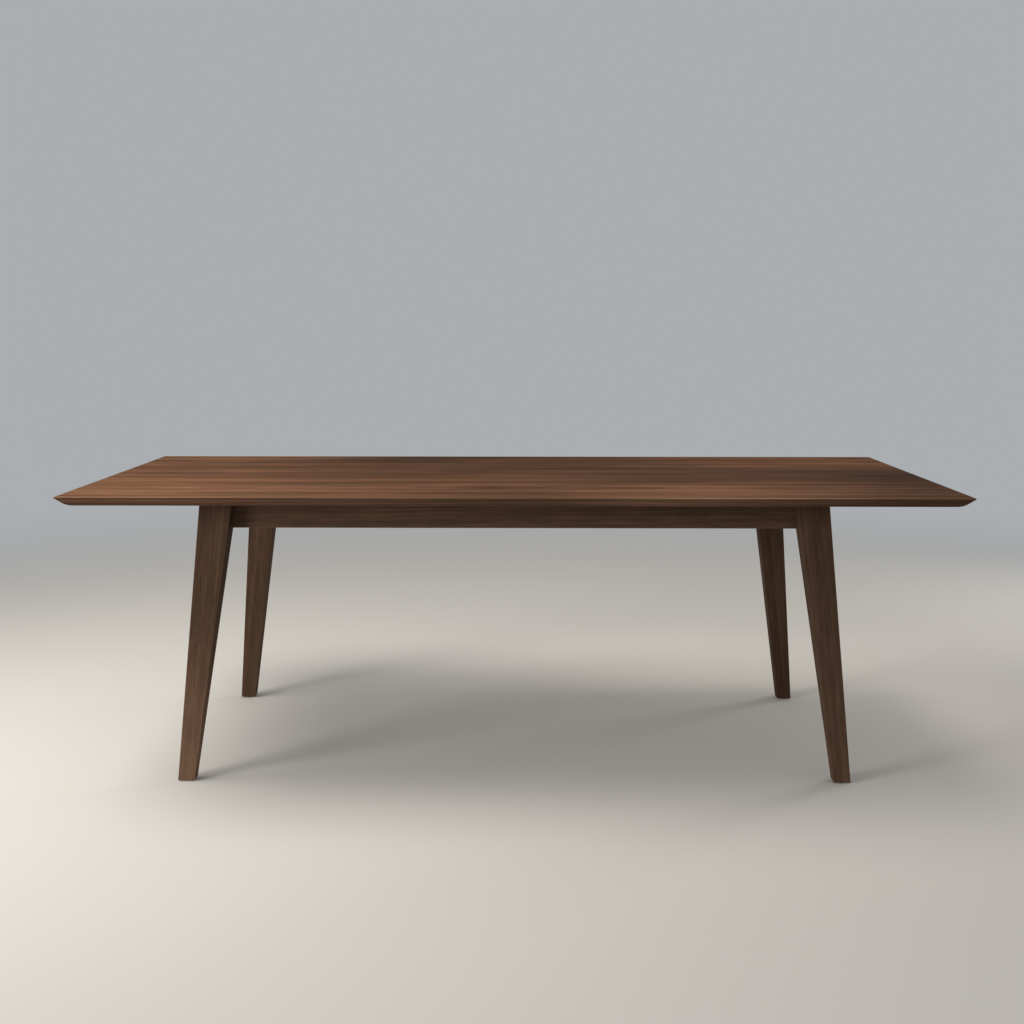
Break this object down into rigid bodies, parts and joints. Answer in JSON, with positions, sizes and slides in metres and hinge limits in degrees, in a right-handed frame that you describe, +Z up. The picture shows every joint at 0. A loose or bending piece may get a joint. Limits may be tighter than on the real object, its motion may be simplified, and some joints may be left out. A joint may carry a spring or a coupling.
{
  "type": "dining table",
  "caption": "Rectangular dining table: a thin under-bevelled top of glued boards on an apron frame, with splayed tapered legs bolted at corner blocks.",
  "frame": {"origin": "on the floor, under the centre of the table", "axes": "+X along the table's length, +Y across it from front to rear, +Z up"},
  "size_m": [2.2, 0.99, 0.74],
  "materials": {
    "walnut_top": "satin walnut top",
    "walnut_base": "satin walnut base",
    "beech_blocks": "plain planed beech",
    "beech_dowels": "plain beech",
    "zinc_steel": "bright zinc plate",
    "clip_steel": "zinc-plated pressed steel",
    "nail_steel": "bright steel",
    "nylon_glide": "dark brown nylon"
  },
  "bodies": {
    "root": {"block_screws_front_left": "zinc_steel", "block_screws_front_right": "zinc_steel", "block_screws_rear_left": "zinc_steel", "block_screws_rear_right": "zinc_steel", "bolt_nuts_front_left": "zinc_steel", "bolt_nuts_front_right": "zinc_steel", "bolt_nuts_rear_left": "zinc_steel", "bolt_nuts_rear_right": "zinc_steel", "bolt_washers_front_left": "zinc_steel", "bolt_washers_front_right": "zinc_steel", "bolt_washers_rear_left": "zinc_steel", "bolt_washers_rear_right": "zinc_steel", "clip_screws_front": "zinc_steel", "clip_screws_left": "zinc_steel", "clip_screws_rear": "zinc_steel", "clip_screws_right": "zinc_steel", "corner_block_front_left": "beech_blocks", "corner_block_front_right": "beech_blocks", "corner_block_rear_left": "beech_blocks", "corner_block_rear_right": "beech_blocks", "cross_rail_left": "beech_blocks", "cross_rail_right": "beech_blocks", "end_apron_left": "walnut_base", "end_apron_right": "walnut_base", "glide_front_left": "nylon_glide", "glide_front_right": "nylon_glide", "glide_nail_front_left": "nail_steel", "glide_nail_front_right": "nail_steel", "glide_nail_rear_left": "nail_steel", "glide_nail_rear_right": "nail_steel", "glide_rear_left": "nylon_glide", "glide_rear_right": "nylon_glide", "hanger_bolts_front_left": "zinc_steel", "hanger_bolts_front_right": "zinc_steel", "hanger_bolts_rear_left": "zinc_steel", "hanger_bolts_rear_right": "zinc_steel", "leg_front_left": "walnut_base", "leg_front_right": "walnut_base", "leg_rear_left": "walnut_base", "leg_rear_right": "walnut_base", "long_apron_front": "walnut_base", "long_apron_rear": "walnut_base", "rail_dowels": "beech_dowels", "rail_screws": "zinc_steel", "top_board_1": "walnut_top", "top_board_2": "walnut_top", "top_board_3": "walnut_top", "top_board_4": "walnut_top", "top_board_5": "walnut_top", "top_board_6": "walnut_top", "top_board_7": "walnut_top", "top_board_8": "walnut_top", "top_clips_front": "clip_steel", "top_clips_left": "clip_steel", "top_clips_rear": "clip_steel", "top_clips_right": "clip_steel"}
  },
  "joints": []
}
